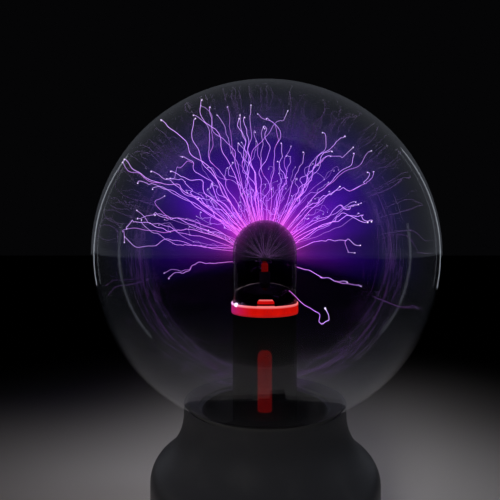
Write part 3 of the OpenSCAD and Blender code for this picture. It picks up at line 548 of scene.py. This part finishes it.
# The strongest discharges: where each ends on the glass, as (clock, depth) in degrees, and how far
# it bows upwards in mm. Clock turns from straight up towards +X, depth leans away from the front.
STRONG = [
    (-56, -20, 3), (-37, -20, 2), (-25, -5, 3), (-27, 8, 2), (-22, 4, 4), (-30, 12, 2), (-18, 14, 0),
    (-9, 22, 0), (-7, 22, 1), (1, 28, 0), (5, 22, 1), (24, 40, 0), (29, 24, 3), (36, 19, 4),
    (46, 23, 3), (57, 25, 6), (75, 33, 9), (75, 35, 5), (87, 45, 8), (112, 45, 3), (137, -73, 4),
    (-106, 43, 5), (-80, 16, 4), (-86, 18, 1), (-74, 24, 3), (-61, 14, 5), (-55, 20, 4),
    (-51, 31, 6), (-41, 28, 3), (-61, 27, 3), (-74, 33, 7), (-78, 22, 8), (-82, 28, -3), (-38, 50, 1),
    (-51, 51, 1), (-10, 38, 0), (12, 39, 0), (11, 48, 0), (32, 30, 3), (35, 35, 1), (32, 43, 1),
    (53, 40, 3), (66, 38, 6)]


def heading(clock, depth):
    """Unit vector: turned by clock from +Z towards +X, then leaned by depth towards +Y."""
    clock, depth = np.radians(clock), np.radians(depth)
    return np.array([np.sin(clock) * np.cos(depth), np.sin(depth), np.cos(clock) * np.cos(depth)])


def ease(low, high):
    """0 until low, 1 after high, and a smooth S between, along a filament."""
    x = np.clip((T - low) / (high - low), 0, 1)
    return x * x * (3 - 2 * x)


def wander(size):
    """Sideways shift along a filament: three sine waves of rising frequency and falling height, and
    straight kinks between nine random places. It grows after a calm start and ends at nought."""
    waves = sum(share * np.sin(2 * np.pi * (RANDOM.uniform(low, high) * T + RANDOM.random()))
                for share, low, high in ((0.8, 0.6, 1.2), (0.55, 1.8, 3.4), (0.2, 5.0, 8.0)))
    kinks = np.interp(T, np.sort(RANDOM.uniform(0, 1, 9)), RANDOM.normal(0, 0.42, 9))
    return size * (waves + kinks) * ease(0.06, 0.6) * (1 - ease(0.86, 1.0))


def pull_inside(path):
    """Keeps every point of a path inside the glass."""
    return path * np.minimum(1, REACH / np.linalg.norm(path, axis=1))[:, None]


def filament(root, end, size, lift):
    """Path from a point on the pillar to the glass, in metres from the globe's centre.

    Its direction turns from the root's to the end's while its radius grows evenly; on top come two
    sideways shifts, an upward bow of half a sine wave, and a last short run along the glass.
    """
    course = unit(unit(root) * (1 - T[:, None]) + end * T[:, None])
    radius = np.linalg.norm(root) * (1 - T) + REACH * np.minimum(1, T * 1.04)
    fixed = np.array([0.0, 0.0, 1.0]) if abs(end[2]) < 0.9 else np.array([1.0, 0.0, 0.0])
    across = unit(np.cross(end, fixed))
    over = np.cross(end, across)
    hook = RANDOM.normal(0, 2.5 * MM, 2)[:, None] * ease(0.8, 1.0)[None]
    path = course * radius[:, None]
    path += across * (wander(size) + hook[0])[:, None] + over * (wander(size) + hook[1])[:, None]
    path[:, 2] += lift * np.sin(np.pi * T ** 0.8)
    return pull_inside(path)


def fork(path, size):
    """A branch: it follows a path to a random place, then leaves it ever faster to its own end."""
    leave = RANDOM.uniform(0.45, 0.75)
    away = np.clip((T - leave) / (1 - leave), 0, 1)[:, None]
    branch = path + RANDOM.normal(0, 11 * MM, 3) * away ** 1.3
    wave = np.sin(2 * np.pi * (2.2 * away + RANDOM.random(3))) * RANDOM.normal(0, size * 0.7, 3)
    branch = branch + (wave - wave[0]) * away * (1 - 0.7 * away)
    branch[-1] = unit(branch[-1]) * REACH
    return pull_inside(branch[T >= leave - 0.03])


def root_on_pillar(lean):
    """Point on the pillar's dome, or down its straight side where the direction points down."""
    if lean[2] >= 0:
        return lean * DOME_R
    return unit(lean * [1, 1, 0]) * DOME_R + np.array([0, 0, 1.8 * lean[2] * DOME_R])


def resample(path):
    """A path with its rings spread again over the full count."""
    along = np.linspace(0, 1, len(path))
    return np.stack([np.interp(T, along, path[:, k]) for k in range(3)], -1)


def discharge_paths():
    """All filaments with their brightness: the strong ones, fainter ones behind, twins and forks."""
    plans = [(heading(clock, depth), lift, RANDOM.uniform(0.7, 1.0), 1.0) for clock, depth, lift in STRONG]
    for clock in np.linspace(-84, 70, 44):
        end = heading(clock + RANDOM.normal(0, 5), RANDOM.uniform(36, 70))
        plans.append((end, RANDOM.uniform(-2, 4), RANDOM.uniform(0.3, 0.75), 0.8))
    for clock in np.linspace(-70, 70, 12):
        plans.append((heading(clock, RANDOM.uniform(75, 100)), 0, RANDOM.uniform(0.3, 0.7), 0.9))
    paths, bright = [], []
    for end, lift, level, calm in plans:
        lean = unit([end[0], max(0.75 * end[1], -0.2), end[2]])
        root = root_on_pillar(unit(lean + RANDOM.normal(0, 0.07 if end[2] > 0 else 0.02, 3)))
        size = RANDOM.uniform(1.4, 3.3) * calm * MM
        paths.append(filament(root, end, size, lift * MM))
        bright.append(level)
        if RANDOM.random() < 0.15:
            paths.append(filament(root, end, size * 1.3, (lift - 9) * MM))
            bright.append(level * 0.85)
        if RANDOM.random() < 0.5 and end[1] > -0.5:
            paths.append(resample(fork(paths[-1], size)))
            bright.append(level * 0.75)
    return np.array(paths) + CENTRE, np.array(bright)


def make_discharges():
    """The filaments, the bright dots where they end on the glass, and the spots where they start.

    The last bright dot is a larger one, on the left of the red ring's upper edge: a glowing bead that paints
    a highlight there, with no filament ending on it.
    """
    paths, bright = discharge_paths()
    thickness = (0.09 + 0.12 * bright)[:, None] * (1.0 - 0.15 * T)[None]
    points, faces = swept(paths, thickness * MM)
    light = discharge_light("discharge_light", 1.35)
    filaments = make_mesh("filaments", points, faces, light, run_uv(faces, RING_COUNT, bright))
    # Painted highlight: a glowing bead on the ring's upper edge, where no filament ends.
    painted_ring_highlight = np.array([[-0.84 * RING_HIGH.x, 0.55 * RING_LOW.y, RING_SHOULDER - 0.3 * MM]])
    dots = beads("bright_dots", np.concatenate([paths[:, -1], painted_ring_highlight]),
                 np.append(0.22 + 0.3 * bright, 1.3) * MM, light, 1.0, np.append(0.4 + 0.5 * bright, 1.0))
    spots = beads("pillar_spots", paths[:, 0], (0.2 + 0.25 * bright) * MM, light, 0.02, bright * 0.7)
    for piece in (filaments, dots, spots):
        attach(piece, "stand")


def make_wire_spray():
    """Fine curled wires from the electrode's ball to the inside of the dome: each leaves in the next
    direction of a sunflower spiral, and half a sine wave of random height bends it sideways."""
    count, rings, thickness = 72, 12, 0.06 * MM
    t = np.linspace(0, 1, rings)
    index = np.arange(count)
    rise = 0.985 - 0.95 * index / count
    turn = index * np.pi * (3 - np.sqrt(5))
    flat = np.sqrt(1 - rise ** 2)
    course = np.stack([flat * np.cos(turn), flat * np.sin(turn), rise], -1)
    drop = CENTRE[2] - BALL[2]
    reach = drop * rise + np.sqrt((BORE_R - 0.3 * MM) ** 2 - (drop * flat) ** 2)
    curl = np.random.default_rng(3).normal(0, 0.6 * MM, (count, 1, 3)) * np.sin(np.pi * t)[None, :, None]
    distance = BALL_R * 0.9 + (reach[:, None] - BALL_R * 0.9) * t[None]
    paths = BALL + course[:, None] * distance[..., None] + curl
    points, faces = swept(paths, np.full((count, rings), thickness))
    spray = make_mesh("wire_spray", points, faces, glowing_wire("spray_wire"))
    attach(spray, "stand")
    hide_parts("electrode_wires")


def make_gas_glow():
    """Ball of glowing gas: a tube along Z whose radius is the sine of the angle from the pole, a tenth
    wider because it has six sides. It is light and not a piece."""
    pole, widened = 0.02, 1.1
    polar = np.linspace(pole, np.pi - pole, 40)
    path = CENTRE + REACH * np.cos(polar)[None, :, None] * np.array([0, 0, -1.0])
    points, faces = swept(path, REACH * np.sin(polar)[None] * widened)
    glow = make_mesh("gas_glow", points, faces, gas_glow("gas_glow"))


# ---------- marks on the front ----------


def bars(name, starts, ends, width, material):
    """Thin printed bars on the front flat: each is a flat box from its start to its end."""
    paint_coat = 0.12 * MM
    ahead = unit(ends - starts)
    side = np.stack([-ahead[:, 2], np.zeros(len(ahead)), ahead[:, 0]], -1) * width / 2
    lift = np.array([0.0, -paint_coat, 0.0])
    corners = np.stack([starts - side, ends - side, ends + side, starts + side], 1)
    points = np.concatenate([corners + lift, corners], 1).reshape(-1, 3)
    box = np.array([[3, 2, 1, 0], [4, 5, 6, 7], [0, 1, 5, 4], [1, 2, 6, 5], [2, 3, 7, 6], [3, 0, 4, 7]])
    faces = (box[None] + (np.arange(len(starts)) * 8)[:, None, None]).reshape(-1, 4)
    piece = make_mesh(name, points, faces, material, smooth=False)
    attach(piece, "stand")


def make_front_marks():
    """Eleven ticks round the knob over its whole travel, and three marks over the switch."""
    ticks, long_tick, short_tick = 11, 2.6 * MM, 1.7 * MM
    knob_low, knob_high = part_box("intensity_knob")
    x, z = (knob_low.x + knob_high.x) / 2, (knob_low.z + knob_high.z) / 2
    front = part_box("mode_switch")[0].y - PANEL_WALL
    radius = (knob_high.x - knob_low.x) / 2
    turn = np.radians(np.linspace(*travel("knob_turn", "range_deg"), ticks))
    spoke = np.stack([np.sin(turn), np.zeros(ticks), np.cos(turn)], -1)
    hub = np.array([x, front, z])
    length = np.where(np.arange(ticks) % 5 == 0, long_tick, short_tick)[:, None]
    paint = printed_white("front_marks")
    near = hub + spoke * (radius + 0.8 * MM)
    bars("dial_marks", near, near + spoke * length, 0.6 * MM, paint)
    lever_low, lever_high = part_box("mode_slider")
    middle = (lever_low.x + lever_high.x) / 2
    places = middle + np.linspace(*travel("switch_slide", "range_m"), 3)
    foot = np.stack([places, np.full(3, front), np.full(3, lever_high.z + 1.6 * MM)], -1)
    bars("switch_marks", foot, foot + np.array([0, 0, 1.8 * MM]), 0.5 * MM, paint)


# ---------- studio ----------


def make_floor():
    """Plain pale floor: a square grid whose lines are spaced by the cube of a number from -1 to 1.

    Its colour holds a painted pool of light: pale round the base and darkening with distance, so that the
    room behind stays black.
    """
    half, cells = 4, 32
    line = np.linspace(-1, 1, cells + 1) ** 3 * half
    x, y = np.meshgrid(line, line)
    points = np.stack([x, y, np.zeros_like(x)], -1).reshape(-1, 3)
    row, column = np.meshgrid(np.arange(cells), np.arange(cells), indexing="ij")
    here = (row * (cells + 1) + column).ravel()
    faces = np.stack([here, here + 1, here + cells + 2, here + cells + 1], -1)
    paint = Finish("pale_floor")
    cloud = paint.noise(3, 3)
    # Painted light falloff: the colour goes from pale to near black with distance from the base.
    far = paint.ramp_value(paint.length(paint.object_coords()), 0.12, 0.6, "SMOOTHERSTEP")
    pale = paint.mix(cloud, (0.6, 0.59, 0.58), (0.66, 0.65, 0.64))
    material = paint.surface(
        Base_Color=paint.mix(far, pale, (0.002, 0.002, 0.002)),
        Roughness=0.8 + (cloud - 0.5) * 0.1, Specular_IOR_Level=0.0)
    make_mesh("floor", points, faces, material)


def soft_light(name, place, size, spread, watts, colour, aim_z=0.04, mirrored=False):
    """Soft box aimed at the object's axis. Only a mirrored one leaves its shape on glass and plastic."""
    data = bpy.data.lights.new(name, "AREA")
    data.shape = "RECTANGLE"
    data.size, data.size_y = size
    data.spread = np.radians(spread)
    data.energy = watts
    data.color = colour
    lamp = bpy.data.objects.new(name, data)
    lamp.location = place
    lamp.visible_glossy = mirrored
    lamp.visible_camera = False
    x, y, z = np.array([0, 0, aim_z]) - np.array(place)
    lamp.rotation_euler = (np.arctan2(np.hypot(x, y), -z), 0, np.arctan2(y, x) - np.pi / 2)
    bpy.context.scene.collection.objects.link(lamp)


def make_room():
    """The world: almost black, but a dim even grey for what gloss and glass mirror."""
    world = bpy.data.worlds.new("studio")
    world.use_nodes = True
    tree = world.node_tree
    ray = tree.nodes.new("ShaderNodeLightPath")
    shade = tree.nodes.new("ShaderNodeMix")
    shade.data_type = "RGBA"
    shade.inputs[6].default_value = (0.0015, 0.0015, 0.0018, 1)
    shade.inputs[7].default_value = (0.075, 0.08, 0.095, 1)
    tree.links.new(ray.outputs["Is Glossy Ray"], shade.inputs[0])
    tree.links.new(shade.outputs[2], tree.nodes["Background"].inputs[0])
    bpy.context.scene.world = world


def make_studio():
    """A dark room with soft light on the base, so that the discharges show, and two tall strips
    behind it whose narrow reflections draw the globe's outline."""
    make_room()
    scene = bpy.context.scene
    scene.view_settings.view_transform = "Standard"
    scene.cycles.transparent_max_bounces = 32
    soft_light("front_box", (-0.25, -0.6, 0.35), (0.25, 0.25), 30, 0.085, (1.0, 0.97, 0.93))
    soft_light("left_box", (-0.6, 0.15, 0.25), (0.25, 0.25), 35, 0.045, (1.0, 0.92, 0.85))
    soft_light("right_box", (0.6, 0.0, 0.3), (0.25, 0.25), 35, 0.045, (0.88, 0.93, 1.0))
    soft_light("back_box", (0.15, 0.6, 0.3), (0.25, 0.25), 30, 0.045, (0.95, 0.97, 1.0))
    for name, x in (("left_strip", -0.75), ("right_strip", 0.75)):
        soft_light(name, (x, 0.8, 0.35), (0.06, 0.7), 120, 0.04, (0.85, 0.9, 1.0), 0.35, True)


# ---------- everything ----------


def paint_cad():
    """Gives every shown CAD node its finish."""
    glass = clear_glass("clear_glass")
    zinc = metal("zinc_steel", (0.62, 0.62, 0.6), 0.3)
    drawn = metal("bright_metal", (0.72, 0.7, 0.7), 0.22)
    black = moulded_plastic("moulded_black", (0.035, 0.035, 0.038), 0.5, 0.5)
    base = moulded_plastic("base_plastic", (0.022, 0.022, 0.025), 0.55, 0.42, 0.06)
    knob = moulded_plastic("knob_plastic", (0.03, 0.03, 0.033), 0.4, 0.34, 0.02)
    white = moulded_plastic("white_plastic", (0.72, 0.7, 0.65), 0.5, 0.4)
    cable = moulded_plastic("cable_grey", (0.28, 0.29, 0.32), 0.8, 0.45)
    film = moulded_plastic("capacitor_sleeve", (0.03, 0.055, 0.2), 0.3, 0.28, 0.004)
    board = circuit_board("circuit_board")
    ferrite = ceramic("ferrite", (0.07, 0.07, 0.075), 0.55)
    soft = rubber("black_rubber", (0.03, 0.03, 0.03))
    red = silicone("red_silicone", (0.5, 0.004, 0.003), 1.0)
    finishes = {
        glass: ["globe", "seal_off_stub"],
        smoked_glass("smoked_glass", (0.45, 0.39, 0.46)): ["pillar"],
        red_ring_glass("red_glass"): ["red_ring"],
        drawn: ["electrode_ball", "electrode_rod", "socket_pin", "knob_shaft"],
        silicone("red_bead", (0.7, 0.01, 0.01), 1.1): ["red_bead"],
        ceramic("dark_ceramic", (0.14, 0.13, 0.18), 0.4): ["ceramic_stem"],
        plug_black("plug_black"): ["shoulder_plug"],
        red: ["red_sleeve", "high_voltage_lead"],
        soft: ["pillar_bung", "globe_gasket", "rubber_feet"],
        base: ["base_shell", "base_cover", "neck_clamp"],
        knob: ["intensity_knob", "supply_socket"],
        white: ["knob_pointer", "mode_slider", "cable_header"],
        zinc: ["neck_clamp_screws", "cover_screws", "board_screws", "core_clip", "transistor_screw",
               "potentiometer_nut", "socket_nut", "potentiometer", "mode_switch", "microphone"],
        board: ["driver_board", "control_board"],
        ferrite: ["transformer_core", "choke"],
        black: ["transformer_foot", "transformer_bobbin", "power_transistor", "timer_chip"],
        wound_wire("primary_wire", (0.62, 0.24, 0.08), 0.5): ["primary_winding"],
        wound_wire("coil_wire", (0.5, 0.16, 0.06), 0.25): ["high_voltage_coil"],
        metal("aluminium", (0.6, 0.61, 0.63), 0.38): ["heat_sink"],
        film: ["electrolytic_capacitors"],
        moulded_plastic("capacitor_red", (0.42, 0.06, 0.035), 1.2, 0.22, 0.03): ["film_capacitors"],
        banded_resistors("resistor_body"): ["resistors"],
        cable: ["control_cable", "supply_leads"],
    }
    for material, nodes in finishes.items():
        for name in nodes:
            slots = frame["nodes"][name].data.materials
            slots.clear()
            slots.append(material)


paint_cad()
make_wire_spray()
make_discharges()
make_gas_glow()
make_front_marks()
make_floor()
make_studio()
